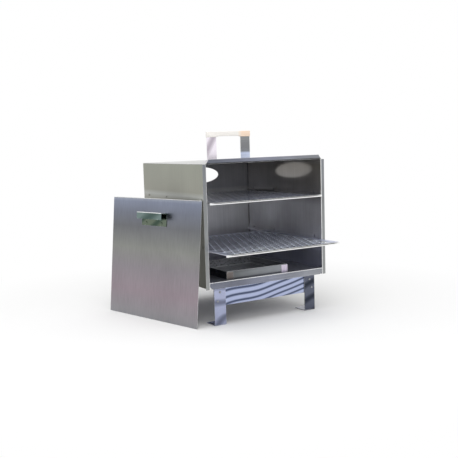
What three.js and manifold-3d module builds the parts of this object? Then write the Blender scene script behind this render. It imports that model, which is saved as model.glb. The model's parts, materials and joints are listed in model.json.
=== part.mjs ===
// A front-loading sheet-steel smoker: a box on four strap legs, with two sliding racks of
// expanded metal, a drip tray, a carry handle and a lift-off door that leans on its left side.
// Millimetres, +Z up, X along the front, the opening faces -Y.

import * as THREE from "three";
import { mergeVertices } from "three/addons/utils/BufferGeometryUtils.js";
import Module from "manifold-3d";

const wasm = await Module();
wasm.setup();

// ---- driving dimensions ----

const seam = 0.3; // left between two pieces that touch
const overcut = 1; // how far a cutter runs past the face that it opens
const sheet = 1.2; // steel sheet of the cabinet, runners, racks and door

// Cabinet, inside sizes
const cabinetWidth = 400;
const cabinetDepth = 412;
const cabinetHeight = 334;
const floorTop = 130; // over the ground

// Flanges round the opening
const sideFlange = 12;
const topFlange = 13.6;
const topFlangeSlant = 8;
const bottomFlange = 19.4;
const bottomFlangeChamfer = 7.5;

// Oval vent in the rear wall
const ventWidth = 159;
const ventHeight = 55;
const ventDrop = 49; // from the roof to its centre

// Stand
const standInset = 14; // from the opening plane to the front of a leg
const standSideInset = 21; // from the cabinet's inside to the side of a leg
const legWidth = 38;
const legThickness = 2;
const legTopDrop = 3; // from the floor panel to the top of a leg
const footLength = 50;
const apronDrop = 73; // from the top of the floor panel
const apronFlange = 20;
const legRivets = [
  { drop: 33, out: 0 }, // drop from the top of the floor panel, out from the leg's middle
  { drop: 59, out: 8 },
];

// Racks and their runners; a rack's rise is from the floor panel to its top face
const rackSideClearance = 3.75; // from a rack to the side wall
const rackRearClearance = 10; // behind a rack that is pushed in
const rackProud = 8; // of the opening, when the rack is pushed in
const rackSideMargin = 22;
const rackFrontMargin = 8;
const rackRearMargin = 20;
const rackLip = 6;
const racks = [
  { name: "upper", rise: 226.5, pulledOut: rackProud },
  { name: "lower", rise: 89.3, pulledOut: 90 },
];
const meshThickness = 1.5;
const meshLap = 5; // of the mesh under its frame
const diamondWidth = 23;
const diamondLength = 54;
const strandWidth = 3;
const runnerLedge = 12;
const runnerWall = 16;
const runnerRivetRise = 7.2; // over the rack's top face
const runnerRivetSetback = 35; // from the opening, and from the rear wall to the last one
const runnerRivetMiddle = 254; // from the opening to the middle one

// Drip tray
const trayWidth = 214;
const trayDepth = 206;
const trayHeight = 23;
const traySheet = 1;
const trayCentre = -27; // across the cabinet
const traySetback = 17; // behind the opening plane
const trayTabWidth = 22;
const trayTabDrop = 2; // from the tray's rim to a tab

// Carry handle on the roof
const handleWidth = 156.5;
const handleSetback = 207; // to the middle of its thickness
const handleStrapWidth = 34;
const handleStrap = 2;
const handleFoot = 25;
const handleRivetReach = 13.75; // from the back of a strap to its rivets
const handleRise = 93.5; // from the roof's underside to the top of the grip
const gripHeight = 17.5;
const gripDepth = 12;
const gripRelief = 2.5; // how far the grip's underside is hollowed between the straps
const gripCorner = 6; // fillet at the ends of that hollow
const tenonWidth = 24;
const tenonLength = 12;
const handleRivetSpacing = 20;

// Door
const doorSideLap = 1.5; // of the door over each side wall
const doorFootGap = 2.5; // from the hung door's bottom edge to the foot of the lower flange
const doorHeading = THREE.MathUtils.degToRad(-75.2); // its bottom edge, in plan
const doorLean = THREE.MathUtils.degToRad(5.7);
const doorNearEnd = 13; // from the opening plane back to its near bottom corner
const hookClearance = 0.4;
const hookDrop = 10;
const hookInset = 12; // from the door's side edge to the end of the hook
const pullWidth = 112;
const pullDrop = 42; // from the door's top edge to the pull
const pullBack = 40;
const pullStandoff = 23;
const pullLip = 20;
const pullSheet = 1.5;
const pullRivetSpacing = 70;
const pullRivetRise = 9; // over the lower edge of the pull's back plate

// Rivets and screws
const rivet = { headRadius: 4.5, headHeight: 2, shankRadius: 2.2, tailRadius: 3.4, tailHeight: 1.5 };
const crown = { radius: 3.2, drop: 0.4 }; // the flat top of a head, and how far under it the slope starts
const holeRadius = rivet.shankRadius + seam;
const woodScrewLength = 9;
const roundSides = 12;

// ---- finishes ----

const finish = (color, roughness, metalness) => ({ color, roughness, metalness });
const brushedSteel = finish("#93969a", 0.38, 1);
const dullSteel = finish("#6e7177", 0.5, 1);
const polishedSteel = finish("#b9bfca", 0.12, 1);
const paleWood = finish("#ead2bb", 0.6, 0);

// ---- shapes ----

const solidOf = (geometry) => {
  const plain = geometry.index ? geometry.toNonIndexed() : geometry.clone();
  plain.deleteAttribute("normal");
  plain.deleteAttribute("uv");
  const merged = mergeVertices(plain);
  return new wasm.Manifold(
    new wasm.Mesh({
      numProp: 3,
      vertProperties: merged.attributes.position.array,
      triVerts: new Uint32Array(merged.index.array),
    }),
  );
};

const geometryOf = (solid) => {
  const { vertProperties, triVerts } = solid.getMesh();
  const geometry = new THREE.BufferGeometry();
  geometry.setAttribute("position", new THREE.BufferAttribute(vertProperties, 3));
  geometry.setIndex(new THREE.BufferAttribute(triVerts, 1));
  return geometry;
};

const cut = (body, tools) =>
  geometryOf(tools.reduce((solid, tool) => solid.subtract(solidOf(tool)), solidOf(body)));

const join = (body, others) =>
  geometryOf(others.reduce((solid, other) => solid.add(solidOf(other)), solidOf(body)));

// A box from its low corner to its high corner.
const block = (low, high) => {
  const size = high.map((value, i) => value - low[i]);
  const middle = high.map((value, i) => (value + low[i]) / 2);
  return new THREE.BoxGeometry(...size).translate(...middle);
};

const X = new THREE.Vector3(1, 0, 0);
const Y = new THREE.Vector3(0, 1, 0);
const Z = new THREE.Vector3(0, 0, 1);
const yzPlane = new THREE.Matrix4().makeBasis(Y, Z, X);
const xzPlane = new THREE.Matrix4().makeBasis(X, Z, Y.clone().negate());

const extrude = (shape, depth) =>
  new THREE.ExtrudeGeometry(shape, { depth, bevelEnabled: false, curveSegments: roundSides });

// A (y, z) section run from x = from to x = to, and an (x, z) outline run along y.
const alongX = (shape, from, to) => extrude(shape, to - from).applyMatrix4(yzPlane).translate(from, 0, 0);
const alongY = (shape, from, to) => extrude(shape, to - from).applyMatrix4(xzPlane).translate(0, to, 0);
const alongZ = (shape, from, to) => extrude(shape, to - from).translate(0, 0, from);

const outline = (points) => new THREE.Shape(points.map(([u, v]) => new THREE.Vector2(u, v)));

// The section of a sheet folded along a path. A positive thickness lies to the path's left.
const foldedSheet = (path, thickness) => {
  const points = path.map(([u, v]) => new THREE.Vector2(u, v));
  const normals = points.slice(1).map((point, i) => {
    const run = point.clone().sub(points[i]).normalize();
    return new THREE.Vector2(-run.y, run.x);
  });
  const far = points.map((point, i) => {
    const before = normals[Math.max(i - 1, 0)];
    const after = normals[Math.min(i, normals.length - 1)];
    const mitre = before.clone().add(after);
    return point.clone().add(mitre.multiplyScalar(thickness / (1 + before.dot(after))));
  });
  return new THREE.Shape([...points, ...far.reverse()]);
};

// Turned pieces and round holes start on the origin and run along +Z until they are turned.
const rod = (radius, length) =>
  new THREE.CylinderGeometry(radius, radius, length, roundSides)
    .rotateX(Math.PI / 2)
    .translate(0, 0, length / 2);

// A rivet's hole through sheets that start on the origin.
const rivetHole = (thickness) => rod(holeRadius, thickness + 2 * overcut).translate(0, 0, -overcut);

const turned = (profile) =>
  new THREE.LatheGeometry(
    profile.map(([radius, height]) => new THREE.Vector2(radius, height)),
    roundSides,
  ).rotateX(Math.PI / 2);

// A rivet whose head lies below z = 0 and whose tail lies above z = grip.
const rivetAcross = (grip) => {
  const { headRadius, headHeight, shankRadius, tailRadius, tailHeight } = rivet;
  return turned([
    [0, -headHeight],
    [crown.radius, -headHeight + crown.drop],
    [headRadius, 0],
    [shankRadius, 0],
    [shankRadius, grip],
    [tailRadius, grip],
    [tailRadius, grip + tailHeight],
    [0, grip + tailHeight],
  ]);
};

const towards = {
  left: (geometry) => geometry.rotateY(-Math.PI / 2),
  right: (geometry) => geometry.rotateY(Math.PI / 2),
  rear: (geometry) => geometry.rotateX(-Math.PI / 2),
  front: (geometry) => geometry.rotateX(Math.PI / 2),
  down: (geometry) => geometry.rotateX(Math.PI),
};

const smoker = new THREE.Group();

const addPiece = (name, geometry, look, parent = smoker) => {
  const piece = new THREE.Mesh(geometry, new THREE.MeshStandardMaterial(look));
  piece.name = name;
  parent.add(piece);
};

const sides = [
  { name: "left", sign: -1, outward: "left" },
  { name: "right", sign: 1, outward: "right" },
];

// ---- cabinet ----

const halfWidth = cabinetWidth / 2;
const roofUnderside = floorTop + cabinetHeight;
const roofTop = roofUnderside + sheet;
const flangeTop = roofUnderside + topFlange;
const skirtBottom = floorTop - bottomFlange;
const rearWallFront = cabinetDepth + seam;
const wallTop = roofUnderside - seam;
const rackHeight = ({ rise }) => floorTop + rise;
const runnerRivetHeight = (rack) => rackHeight(rack) + runnerRivetRise;
const runnerRivetPlaces = [runnerRivetSetback, runnerRivetMiddle, cabinetDepth - runnerRivetSetback];
const handleRivetSetback = handleSetback + handleStrap / 2 + handleRivetReach;

const handleRivetPlaces = sides.flatMap(({ name, sign }) =>
  [-1, 1].map((end) => ({
    name: `handle_rivet_${name}_${end < 0 ? "inner" : "outer"}`,
    x: sign * (handleWidth / 2 - handleStrapWidth / 2 + (end * handleRivetSpacing) / 2),
  })),
);

function roofPanel() {
  const section = foldedSheet(
    [
      [0, flangeTop],
      [0, roofUnderside],
      [rearWallFront + sheet, roofUnderside],
    ],
    sheet,
  );
  const reach = halfWidth + sheet;
  const slants = sides.map(({ sign }) =>
    alongY(
      outline([
        [sign * (halfWidth - topFlangeSlant), flangeTop + overcut],
        [sign * (halfWidth - topFlangeSlant), flangeTop],
        [sign * halfWidth, roofTop],
        [sign * (reach + overcut), roofTop],
        [sign * (reach + overcut), flangeTop + overcut],
      ]),
      -overcut,
      sheet + overcut,
    ),
  );
  const holes = handleRivetPlaces.map(({ x }) =>
    rivetHole(sheet).translate(x, handleRivetSetback, roofUnderside),
  );
  return cut(alongX(section, -reach, reach), [...slants, ...holes]);
}

function sideWall({ sign, outward }) {
  const section = foldedSheet(
    [
      [sign * (halfWidth + sideFlange), 0],
      [sign * halfWidth, 0],
      [sign * halfWidth, cabinetDepth],
    ],
    -sign * sheet,
  );
  const holes = racks.flatMap((rack) =>
    runnerRivetPlaces.map((y) =>
      towards[outward](rivetHole(sheet)).translate(sign * halfWidth, y, runnerRivetHeight(rack)),
    ),
  );
  return cut(alongZ(section, skirtBottom, wallTop), holes);
}

function rearWall() {
  const reach = halfWidth + sheet;
  const wall = outline([
    [-reach, skirtBottom],
    [reach, skirtBottom],
    [reach, wallTop],
    [-reach, wallTop],
  ]);
  const vent = new THREE.Path();
  vent.absellipse(0, roofUnderside - ventDrop, ventWidth / 2, ventHeight / 2, 0, 2 * Math.PI, true);
  wall.holes.push(vent);
  return alongY(wall, rearWallFront, rearWallFront + sheet);
}

function floorPanel() {
  const section = foldedSheet(
    [
      [0, skirtBottom],
      [0, floorTop],
      [cabinetDepth, floorTop],
    ],
    -sheet,
  );
  const reach = halfWidth - seam;
  const corners = sides.map(({ sign }) =>
    alongY(
      outline([
        [sign * (reach - bottomFlangeChamfer), skirtBottom],
        [sign * (reach - bottomFlangeChamfer), skirtBottom - overcut],
        [sign * (reach + overcut), skirtBottom - overcut],
        [sign * (reach + overcut), skirtBottom + bottomFlangeChamfer],
        [sign * reach, skirtBottom + bottomFlangeChamfer],
      ]),
      -overcut,
      sheet + overcut,
    ),
  );
  return cut(alongX(section, -reach, reach), corners);
}

addPiece("roof_panel", roofPanel(), brushedSteel);
for (const side of sides) addPiece(`${side.name}_wall`, sideWall(side), brushedSteel);
addPiece("rear_wall", rearWall(), dullSteel);
addPiece("floor_panel", floorPanel(), dullSteel);

// ---- stand ----

const floorUnderside = floorTop - sheet;
const halfStand = halfWidth - standSideInset;
const legGrip = legThickness + seam + sheet + 2 * seam; // two sheets, the seam between, one at each end

// The front and the rear stand are mirror images; each looks outward along its own face.
const stands = [
  { name: "front", outside: standInset, inward: 1, inwards: "rear" },
  { name: "rear", outside: rearWallFront + sheet - standInset, inward: -1, inwards: "front" },
];

const legRivetPlaces = ({ sign }) =>
  legRivets.map(({ drop, out }) => ({
    x: sign * (halfStand - legWidth / 2 + out),
    height: floorTop - drop,
  }));

function apron({ outside, inward, inwards }) {
  const face = outside + inward * (legThickness + seam);
  const section = foldedSheet(
    [
      [face, floorTop - apronDrop],
      [face, floorUnderside - seam],
      [face + inward * apronFlange, floorUnderside - seam],
    ],
    -inward * sheet,
  );
  const holes = sides.flatMap(legRivetPlaces).map(({ x, height }) =>
    towards[inwards](rivetHole(sheet)).translate(x, face, height),
  );
  return cut(alongX(section, -halfStand, halfStand), holes);
}

function leg({ outside, inward, inwards }, side) {
  const section = foldedSheet(
    [
      [outside + inward * footLength, 0],
      [outside, 0],
      [outside, floorUnderside - legTopDrop],
    ],
    -inward * legThickness,
  );
  const edges = [halfStand - legWidth, halfStand].map((x) => side.sign * x);
  const holes = legRivetPlaces(side).map(({ x, height }) =>
    towards[inwards](rivetHole(legThickness)).translate(x, outside, height),
  );
  return cut(alongX(section, Math.min(...edges), Math.max(...edges)), holes);
}

for (const stand of stands) {
  addPiece(`${stand.name}_apron`, apron(stand), polishedSteel);
  for (const side of sides) {
    const corner = `${stand.name}_${side.name}`;
    addPiece(`${corner}_leg`, leg(stand, side), polishedSteel);
    legRivetPlaces(side).forEach(({ x, height }, i) => {
      const pin = towards[stand.inwards](rivetAcross(legGrip));
      const seat = stand.outside - stand.inward * seam;
      addPiece(`${corner}_leg_rivet_${i + 1}`, pin.translate(x, seat, height), brushedSteel);
    });
  }
}

// ---- runners and racks ----

const runnerFace = halfWidth - seam; // the side of a runner that lies on the wall
const runnerGrip = 2 * sheet + seam + 2 * seam;

function runner({ sign, outward }, rack) {
  const ledgeTop = rackHeight(rack) - sheet - seam;
  const section = foldedSheet(
    [
      [sign * (runnerFace - runnerLedge), ledgeTop - sheet],
      [sign * runnerFace, ledgeTop - sheet],
      [sign * runnerFace, ledgeTop + runnerWall],
    ],
    sign * sheet,
  );
  const holes = runnerRivetPlaces.map((y) =>
    towards[outward](rivetHole(sheet)).translate(sign * (runnerFace - sheet), y, runnerRivetHeight(rack)),
  );
  return cut(alongY(section, sheet + seam, cabinetDepth - seam), holes);
}

const halfRack = halfWidth - rackSideClearance;
const rackDepth = cabinetDepth + rackProud - rackRearClearance;
const windowHalf = halfRack - rackSideMargin;

function rackFrame(height, front) {
  const rear = front + rackDepth;
  const ring = outline([
    [-halfRack, front],
    [halfRack, front],
    [halfRack, rear],
    [-halfRack, rear],
  ]);
  ring.holes.push(
    outline([
      [-windowHalf, front + rackFrontMargin],
      [-windowHalf, rear - rackRearMargin],
      [windowHalf, rear - rackRearMargin],
      [windowHalf, front + rackFrontMargin],
    ]),
  );
  const lip = block([-halfRack, front, height - rackLip], [halfRack, front + sheet, height]);
  return join(alongZ(ring, height - sheet, height), [lip]);
}

// Expanded metal: rows of diamonds, each row half a diamond along from the last.
function rackMesh(height, front) {
  const width = 2 * windowHalf;
  const depth = rackDepth - rackFrontMargin - rackRearMargin;
  const columns = Math.round(width / diamondWidth);
  const rows = Math.round(depth / diamondLength);
  const [a, b] = [width / columns / 2, depth / rows / 2];
  const open = 1 - ((strandWidth / 2) * Math.hypot(a, b)) / (a * b);
  const start = front + rackFrontMargin;
  const lap = Math.min(meshLap, rackFrontMargin - sheet - seam);
  const top = height - sheet - seam;
  const net = block(
    [-windowHalf - lap, start - lap, top - meshThickness],
    [windowHalf + lap, start + depth + lap, top],
  );
  const diamond = outline([
    [-open * a, 0],
    [0, -open * b],
    [open * a, 0],
    [0, open * b],
  ]);
  const opening = alongZ(diamond, top - 2 * meshThickness, top + meshThickness);
  const openings = [];
  for (let row = 0; row < 2 * rows - 1; row++) {
    const offset = row % 2;
    for (let column = 0; column < columns - offset; column++) {
      const x = -windowHalf + (2 * column + 1 + offset) * a;
      openings.push(opening.clone().translate(x, start + (row + 1) * b, 0));
    }
  }
  return cut(net, openings);
}

for (const rack of racks) {
  addPiece(`${rack.name}_rack_frame`, rackFrame(rackHeight(rack), -rack.pulledOut), brushedSteel);
  addPiece(`${rack.name}_rack_mesh`, rackMesh(rackHeight(rack), -rack.pulledOut), brushedSteel);
  for (const side of sides) {
    const place = `${rack.name}_${side.name}_runner`;
    addPiece(place, runner(side, rack), dullSteel);
    runnerRivetPlaces.forEach((y, i) => {
      const pin = towards[side.outward](rivetAcross(runnerGrip));
      const seat = side.sign * (runnerFace - sheet - seam);
      addPiece(`${place}_rivet_${i + 1}`, pin.translate(seat, y, runnerRivetHeight(rack)), dullSteel);
    });
  }
}

// ---- drip tray ----

function dripTray() {
  const low = [trayCentre - trayWidth / 2, traySetback, floorTop + seam];
  const high = [low[0] + trayWidth, low[1] + trayDepth, low[2] + trayHeight];
  const pan = block(low, high);
  const hollow = block(
    low.map((value) => value + traySheet),
    [high[0] - traySheet, high[1] - traySheet, high[2] + overcut],
  );
  // The ends of the long sides are folded round onto the front.
  const tabs = [low[0], high[0] - trayTabWidth].map((x) =>
    block(
      [x, low[1] - traySheet, low[2]],
      [x + trayTabWidth, low[1] + traySheet / 2, high[2] - trayTabDrop],
    ),
  );
  return join(cut(pan, [hollow]), tabs);
}

addPiece("drip_tray", dripTray(), dullSteel);

// ---- carry handle ----

const gripTop = roofUnderside + handleRise;
const gripBottom = gripTop - gripHeight;
const strapFront = handleSetback - handleStrap / 2;
const tenonMiddle = gripBottom + tenonLength / 2;
const strapCentre = handleWidth / 2 - handleStrapWidth / 2;
const gripBack = handleSetback + gripDepth / 2;
const woodScrewHole = () => towards.front(rod(holeRadius, woodScrewLength + overcut));

function handleStrapPiece({ name, sign }) {
  const foot = roofTop + seam;
  const section = foldedSheet(
    [
      [strapFront + handleFoot, foot],
      [strapFront, foot],
      [strapFront, gripBottom - seam],
    ],
    -handleStrap,
  );
  const middle = sign * strapCentre;
  const strap = alongX(section, middle - handleStrapWidth / 2, middle + handleStrapWidth / 2);
  const tenon = block(
    [middle - tenonWidth / 2, strapFront, gripBottom - tenonLength],
    [middle + tenonWidth / 2, strapFront + handleStrap, gripBottom + tenonLength - seam],
  );
  const footHoles = handleRivetPlaces
    .filter((place) => place.name.includes(`_${name}_`))
    .map(({ x }) => rivetHole(handleStrap).translate(x, handleRivetSetback, foot));
  const screwHole = woodScrewHole().translate(middle, gripBack, tenonMiddle);
  return cut(join(strap, [tenon]), [...footHoles, screwHole]);
}

function handleGrip() {
  const end = handleWidth / 2;
  const hollow = strapCentre - handleStrapWidth / 2;
  const hollowTop = gripBottom + gripRelief;
  const shape = new THREE.Shape();
  shape.moveTo(-end, gripBottom);
  shape.lineTo(-hollow, gripBottom);
  shape.quadraticCurveTo(-hollow, hollowTop, -hollow + gripCorner, hollowTop);
  shape.lineTo(hollow - gripCorner, hollowTop);
  shape.quadraticCurveTo(hollow, hollowTop, hollow, gripBottom);
  shape.lineTo(end, gripBottom);
  shape.lineTo(end, gripTop);
  shape.lineTo(-end, gripTop);
  const bar = alongY(shape, handleSetback - gripDepth / 2, gripBack);
  const slots = sides.map(({ sign }) =>
    block(
      [sign * strapCentre - tenonWidth / 2 - seam, strapFront - seam, gripBottom - overcut],
      [
        sign * strapCentre + tenonWidth / 2 + seam,
        strapFront + handleStrap + seam,
        gripBottom + tenonLength,
      ],
    ),
  );
  const screwHoles = sides.map(({ sign }) =>
    woodScrewHole().translate(sign * strapCentre, gripBack, tenonMiddle),
  );
  return cut(bar, [...slots, ...screwHoles]);
}

function woodScrew() {
  const { headRadius, headHeight, shankRadius } = rivet;
  return towards.front(
    turned([
      [0, -headHeight],
      [crown.radius, -headHeight + crown.drop],
      [headRadius, 0],
      [shankRadius, 0],
      [shankRadius, woodScrewLength - shankRadius],
      [0, woodScrewLength],
    ]),
  );
}

addPiece("handle_grip", handleGrip(), paleWood);
for (const side of sides) {
  addPiece(`handle_strap_${side.name}`, handleStrapPiece(side), polishedSteel);
  const screw = woodScrew().translate(side.sign * strapCentre, gripBack + seam, tenonMiddle);
  addPiece(`handle_screw_${side.name}`, screw, brushedSteel);
}
for (const { name, x } of handleRivetPlaces) {
  const pin = towards.down(rivetAcross(handleStrap + seam + sheet + 2 * seam));
  const seat = roofTop + seam + handleStrap + seam;
  addPiece(name, pin.translate(x, handleRivetSetback, seat), brushedSteel);
}

// ---- door, in its own frame: X along its bottom edge, -Y its outer side, Z up its face ----

const doorWidth = cabinetWidth + 2 * doorSideLap;
const doorHeight = bottomFlange + cabinetHeight + topFlange - doorFootGap;
const hookDepth = 3 * sheet + hookClearance; // two folds of the door round the cabinet's top flange
const pullBottom = doorHeight - pullDrop - pullBack;
const pullRivetPlaces = [-1, 1].map((end) => ({
  name: `door_pull_rivet_${end < 0 ? "rear" : "near"}`,
  x: doorWidth / 2 + (end * pullRivetSpacing) / 2,
}));
const pullRivetHeight = pullBottom + pullRivetRise;
const pullRivetHoles = () =>
  pullRivetPlaces.map(({ x }) =>
    towards.rear(rivetHole(pullSheet + seam + sheet)).translate(x, -seam - pullSheet, pullRivetHeight),
  );

function doorPanel() {
  const panel = block([0, 0, 0], [doorWidth, sheet, doorHeight]);
  const hook = foldedSheet(
    [
      [0, doorHeight - hookDrop],
      [0, doorHeight],
      [hookDepth, doorHeight],
      [hookDepth, doorHeight - hookDrop],
    ],
    -sheet,
  );
  return cut(join(panel, [alongX(hook, hookInset, doorWidth - hookInset)]), pullRivetHoles());
}

function doorPull() {
  const section = foldedSheet(
    [
      [-seam, pullBottom],
      [-seam, pullBottom + pullBack],
      [-seam - pullStandoff, pullBottom + pullBack],
      [-seam - pullStandoff, pullBottom + pullBack - pullLip],
    ],
    pullSheet,
  );
  const middle = doorWidth / 2;
  return cut(alongX(section, middle - pullWidth / 2, middle + pullWidth / 2), pullRivetHoles());
}

const doorPose = new THREE.Group();
const door = new THREE.Group();
doorPose.rotation.z = doorHeading;
door.rotation.x = -doorLean;
doorPose.add(door);
addPiece("door_panel", doorPanel(), brushedSteel, door);
addPiece("door_pull", doorPull(), polishedSteel, door);
for (const { name, x } of pullRivetPlaces) {
  const pin = towards.rear(rivetAcross(pullSheet + seam + sheet + 2 * seam));
  addPiece(name, pin.translate(x, -pullSheet - 2 * seam, pullRivetHeight), brushedSteel, door);
}

// It leans with its near top corner just clear of the left wall's rivet tails, on the inner edge
// of its bottom.
doorPose.updateMatrixWorld(true);
const placed = (x, y, z) => new THREE.Vector3(x, y, z).applyMatrix4(door.matrixWorld);
const leaning = [
  placed(doorWidth, sheet, doorHeight),
  placed(doorWidth - hookInset, hookDepth, doorHeight),
];
const rivetsProud = rivet.tailHeight + seam;
doorPose.position.set(
  -(halfWidth + sheet + rivetsProud + seam) - Math.max(...leaning.map((corner) => corner.x)),
  doorNearEnd - placed(doorWidth, 0, 0).y,
  sheet * Math.sin(doorLean),
);
smoker.add(doorPose);

// ---- origin: on the ground, under the middle of the whole part's box ----

const extent = new THREE.Box3().setFromObject(smoker, true);
const middle = extent.getCenter(new THREE.Vector3());
smoker.position.set(-middle.x, -middle.y, -extent.min.z);

const part = new THREE.Group();
part.add(smoker);

export default part;
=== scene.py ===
# %% [markdown]
# # A sheet-steel box smoker
#
# The smoker is a steel box on four strap legs. Two racks of expanded metal slide in it over a drip
# tray, a wooden grip on two straps carries it, and its door is lifted off and leans on its left side.
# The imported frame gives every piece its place, and this lesson gives every piece its finish: each
# sheet is modelled again with the rounded folds that a bending press leaves.

# %% Load the frame
import bpy
import json
import math
from mathutils import Matrix, Vector


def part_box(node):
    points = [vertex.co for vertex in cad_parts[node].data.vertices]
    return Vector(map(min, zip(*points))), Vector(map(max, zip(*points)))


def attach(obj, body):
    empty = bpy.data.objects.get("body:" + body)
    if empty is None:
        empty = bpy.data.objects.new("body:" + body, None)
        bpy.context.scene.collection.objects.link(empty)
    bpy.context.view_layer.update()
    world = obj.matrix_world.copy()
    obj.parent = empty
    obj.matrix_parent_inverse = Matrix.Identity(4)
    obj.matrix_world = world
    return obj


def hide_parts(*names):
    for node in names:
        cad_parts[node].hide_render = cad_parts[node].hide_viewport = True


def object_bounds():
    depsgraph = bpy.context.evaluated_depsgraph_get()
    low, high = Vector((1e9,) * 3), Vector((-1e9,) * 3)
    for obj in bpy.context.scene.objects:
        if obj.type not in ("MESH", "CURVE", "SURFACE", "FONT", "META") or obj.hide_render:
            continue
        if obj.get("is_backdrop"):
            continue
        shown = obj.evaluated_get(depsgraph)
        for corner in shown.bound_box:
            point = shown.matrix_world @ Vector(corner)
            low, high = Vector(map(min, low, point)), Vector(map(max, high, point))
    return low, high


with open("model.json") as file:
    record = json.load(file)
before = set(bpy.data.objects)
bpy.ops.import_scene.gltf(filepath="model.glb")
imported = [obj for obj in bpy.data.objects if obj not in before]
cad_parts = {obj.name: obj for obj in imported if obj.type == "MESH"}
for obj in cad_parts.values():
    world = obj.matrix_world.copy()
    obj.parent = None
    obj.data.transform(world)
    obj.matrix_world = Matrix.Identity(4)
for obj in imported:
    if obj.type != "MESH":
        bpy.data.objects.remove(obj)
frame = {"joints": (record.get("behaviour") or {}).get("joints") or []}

cad_box = [list(corner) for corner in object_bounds()]
joints = {joint["name"]: joint for joint in frame["joints"]}

# %% [markdown]
# ## Camera, light and floor
#
# Bare steel shows what stands round it, so the room is plain: a white surround, one soft light
# overhead that catches every fold that faces up, a weaker one from the front, and a pale floor.
# The camera stands a little left of the cabinet and just above its roof.

# %% Camera
MM = 0.001
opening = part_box("left_wall")[0].y  # the plane of the opening
middle_x = (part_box("left_wall")[0].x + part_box("right_wall")[1].x) / 2
CAMERA_FROM_OPENING = Vector((-1213.1, -1796.0, 525.1)) * MM
HEADING, TILT, ROLL = (math.radians(angle) for angle in (29.77, 6.67, -1.84))
LENS, SENSOR, SIDE_SHIFT = 58.37, 36.0, 0.036


def camera_axes(heading, tilt, roll):
    forward = Vector((math.sin(heading) * math.cos(tilt), math.cos(heading) * math.cos(tilt), -math.sin(tilt)))
    right = Vector((math.cos(heading), -math.sin(heading), 0))
    up = right.cross(forward)
    side = math.cos(roll) * right + math.sin(roll) * up
    top = -math.sin(roll) * right + math.cos(roll) * up
    return Matrix((side, top, -forward)).transposed()


camera_data = bpy.data.cameras.new("camera")
camera_data.lens, camera_data.sensor_width, camera_data.shift_x = LENS, SENSOR, SIDE_SHIFT
camera = bpy.data.objects.new("camera", camera_data)
camera.matrix_world = Matrix.Translation(
    Vector((middle_x, opening, 0)) + CAMERA_FROM_OPENING
) @ camera_axes(HEADING, TILT, ROLL).to_4x4()
bpy.context.scene.collection.objects.link(camera)
bpy.context.scene.camera = camera
bpy.context.scene.view_settings.view_transform = "Standard"
print("camera at", [round(v, 3) for v in camera.matrix_world.translation])


# %% Lights
def soft_light(name, place, target, size, power):
    data = bpy.data.lights.new(name, "AREA")
    data.size, data.energy = size, power
    lamp = bpy.data.objects.new(name, data)
    lamp.location = place
    lamp.rotation_euler = (Vector(target) - Vector(place)).to_track_quat("-Z", "Y").to_euler()
    bpy.context.scene.collection.objects.link(lamp)


AIM = (0, 0, 0.3)
soft_light("overhead_light", (-0.3, -0.4, 2.6), AIM, 2.4, 30)
soft_light("front_light", (-1.7, -2.7, 1.3), AIM, 1.6, 22)

# %% [markdown]
# The surround is white to the eye and to anything that reflects it, and dimmer as a source of light,
# so that pale things keep their shape. Light Path tells the two apart.

# %% Surround
SURROUND_LIGHT = 0.7
world = bpy.data.worlds.new("surround")
bpy.context.scene.world = world
world.use_nodes = True
nodes, links = world.node_tree.nodes, world.node_tree.links
nodes["Background"].inputs["Color"].default_value = (1, 1, 1, 1)
light_path = nodes.new("ShaderNodeLightPath")
seen = nodes.new("ShaderNodeMath")
seen.operation = "MAXIMUM"
seen_through = nodes.new("ShaderNodeMath")
seen_through.operation = "MAXIMUM"
strength = nodes.new("ShaderNodeMapRange")
strength.inputs["To Min"].default_value = SURROUND_LIGHT
links.new(light_path.outputs["Is Camera Ray"], seen.inputs[0])
links.new(light_path.outputs["Is Glossy Ray"], seen.inputs[1])
links.new(seen.outputs[0], seen_through.inputs[0])
links.new(light_path.outputs["Is Transmission Ray"], seen_through.inputs[1])
links.new(seen_through.outputs[0], strength.inputs["Value"])
links.new(strength.outputs["Result"], nodes["Background"].inputs["Strength"])

# %% [markdown]
# The floor is pale and matt and takes the smoker's shadow. Away from the smoker it turns into the
# white of the surround, again for what is seen and not for what is lit, so that no horizon shows.

# %% Floor
SHADOW_REACH, FLOOR_END = 0.5, 1.1
bpy.ops.mesh.primitive_plane_add(size=60)
floor = bpy.context.object
floor.name = "floor"
floor_paint = bpy.data.materials.new("floor_paint")
floor_paint.use_nodes = True
nodes, links = floor_paint.node_tree.nodes, floor_paint.node_tree.links
floor_shader = nodes["Principled BSDF"]
floor_shader.inputs["Base Color"].default_value = (0.94, 0.94, 0.94, 1)
floor_shader.inputs["Roughness"].default_value = 0.9
floor_shader.inputs["Specular IOR Level"].default_value = 0.1
white = nodes.new("ShaderNodeEmission")
place = nodes.new("ShaderNodeTexCoord")
distance = nodes.new("ShaderNodeVectorMath")
distance.operation = "LENGTH"
links.new(place.outputs["Object"], distance.inputs[0])
fade = nodes.new("ShaderNodeMapRange")
fade.interpolation_type = "SMOOTHSTEP"
fade.inputs["From Min"].default_value, fade.inputs["From Max"].default_value = SHADOW_REACH, FLOOR_END
links.new(distance.outputs["Value"], fade.inputs["Value"])
light_path = nodes.new("ShaderNodeLightPath")
seen = nodes.new("ShaderNodeMath")
seen.operation = "MAXIMUM"
links.new(light_path.outputs["Is Camera Ray"], seen.inputs[0])
links.new(light_path.outputs["Is Glossy Ray"], seen.inputs[1])
faded = nodes.new("ShaderNodeMath")
faded.operation = "MULTIPLY"
links.new(seen.outputs[0], faded.inputs[0])
links.new(fade.outputs["Result"], faded.inputs[1])
both = nodes.new("ShaderNodeMixShader")
links.new(faded.outputs[0], both.inputs["Fac"])
links.new(floor_shader.outputs[0], both.inputs[1])
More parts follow.
